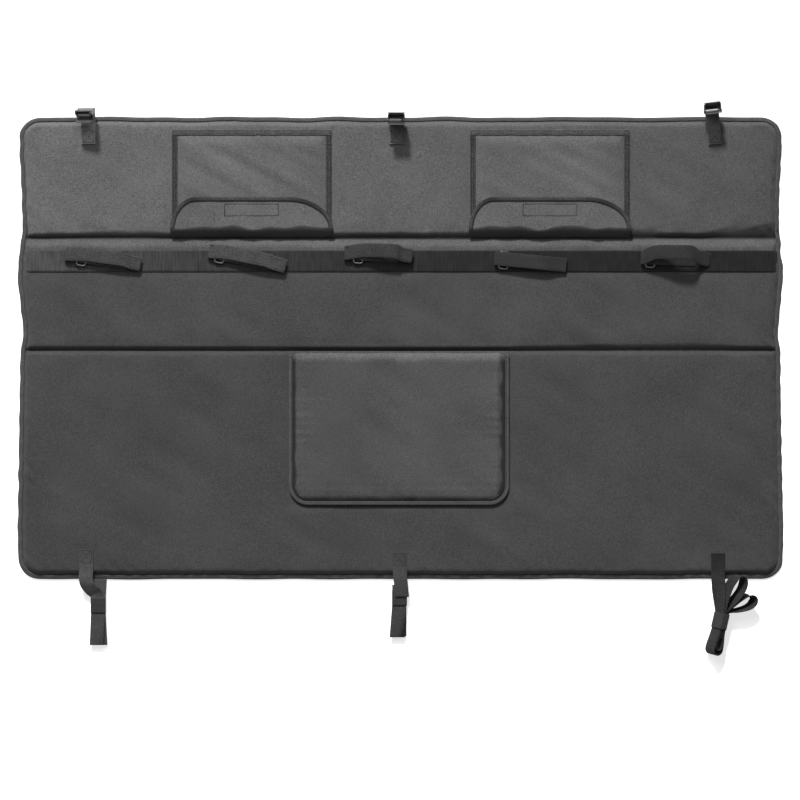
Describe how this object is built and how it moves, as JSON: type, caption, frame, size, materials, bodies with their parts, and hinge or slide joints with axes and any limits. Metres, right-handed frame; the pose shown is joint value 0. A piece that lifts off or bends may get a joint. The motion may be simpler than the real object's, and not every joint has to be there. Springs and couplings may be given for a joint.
{
  "type": "tailgate bike pad",
  "caption": "Padded cloth cover in three panels that drapes over a pickup tailgate, with strap loops for bikes, pockets, a camera flap and cam buckle straps.",
  "frame": {"origin": "middle of the panel that lies on the tailgate's top edge, on the pad's back cloth", "axes": "+X along the tailgate, +Y towards the panel that hangs inside the truck bed, +Z out of the padded face"},
  "size_m": [1.372, 0.9958, 0.0619],
  "materials": {
    "cloth": "charcoal coated polyester cloth, fine plain weave",
    "tape": "dark grey woven edge tape",
    "webbing": "dark grey ribbed polyester webbing",
    "foam": "soft grey closed-cell foam sheet, not seen",
    "grip": "black hook and loop strip",
    "steel": "plated steel, softly brushed"
  },
  "bodies": {
    "pad": {"back_cloth": "cloth", "foam_inner": "foam", "foam_top": "foam", "foam_outer": "foam", "face_cloth": "cloth", "edge_tape": "tape", "camera_flap_face": "cloth", "camera_flap_foam": "foam", "camera_flap_lining": "cloth", "camera_flap_tape": "tape", "camera_flap_hook_strip": "grip", "camera_flap_loop_strip": "grip", "pocket_left_body": "cloth", "pocket_left_flap": "cloth", "pocket_left_tape": "tape", "pocket_left_hook_strip": "grip", "pocket_left_loop_strip": "grip", "pocket_right_body": "cloth", "pocket_right_flap": "cloth", "pocket_right_tape": "tape", "pocket_right_hook_strip": "grip", "pocket_right_loop_strip": "grip", "strap_band": "webbing", "bike_strap_a_anchor": "webbing", "bike_strap_a_ring": "steel", "bike_strap_a_webbing": "webbing", "bike_strap_b_anchor": "webbing", "bike_strap_b_ring": "steel", "bike_strap_b_webbing": "webbing", "bike_strap_c_anchor": "webbing", "bike_strap_c_ring": "steel", "bike_strap_c_webbing": "webbing", "bike_strap_d_anchor": "webbing", "bike_strap_d_ring": "steel", "bike_strap_d_webbing": "webbing", "bike_strap_e_anchor": "webbing", "bike_strap_e_ring": "steel", "bike_strap_e_webbing": "webbing", "top_strap_left_webbing": "webbing", "buckle_left_frame": "steel", "buckle_left_pin": "steel", "buckle_left_spring": "steel", "top_strap_middle_webbing": "webbing", "buckle_middle_frame": "steel", "buckle_middle_pin": "steel", "buckle_middle_spring": "steel", "top_strap_right_webbing": "webbing", "buckle_right_frame": "steel", "buckle_right_pin": "steel", "buckle_right_spring": "steel", "bottom_strap_left_webbing": "webbing", "bottom_strap_left_keeper": "tape", "bottom_strap_middle_webbing": "webbing", "bottom_strap_middle_keeper": "tape", "bottom_strap_right_webbing": "webbing", "bottom_strap_right_keeper": "tape"},
    "left_lever": {"buckle_left_lever": "steel"},
    "middle_lever": {"buckle_middle_lever": "steel"},
    "right_lever": {"buckle_right_lever": "steel"}
  },
  "joints": [
    {"name": "left_lever_hinge", "type": "hinge", "parent": "pad", "child": "left_lever", "pos_m": [-0.56544, 0.32007, 0.04181], "axis": [-0.9903, 0, -0.1392], "range_deg": [0, 30], "stiffness_Nm_per_rad": 0.05, "springref_deg": -29.79, "deforming": ["buckle_left_spring"]},
    {"name": "middle_lever_hinge", "type": "hinge", "parent": "pad", "child": "middle_lever", "pos_m": [-0.0079, 0.31072, 0.04179], "axis": [-1, 0, 0], "range_deg": [0, 30], "stiffness_Nm_per_rad": 0.05, "springref_deg": -29.79, "deforming": ["buckle_middle_spring"]},
    {"name": "right_lever_hinge", "type": "hinge", "parent": "pad", "child": "right_lever", "pos_m": [0.55931, 0.32706, 0.04024], "axis": [-0.9936, -0.1132, 0], "range_deg": [0, 30], "stiffness_Nm_per_rad": 0.05, "springref_deg": -29.79, "deforming": ["buckle_right_spring"]}
  ]
}
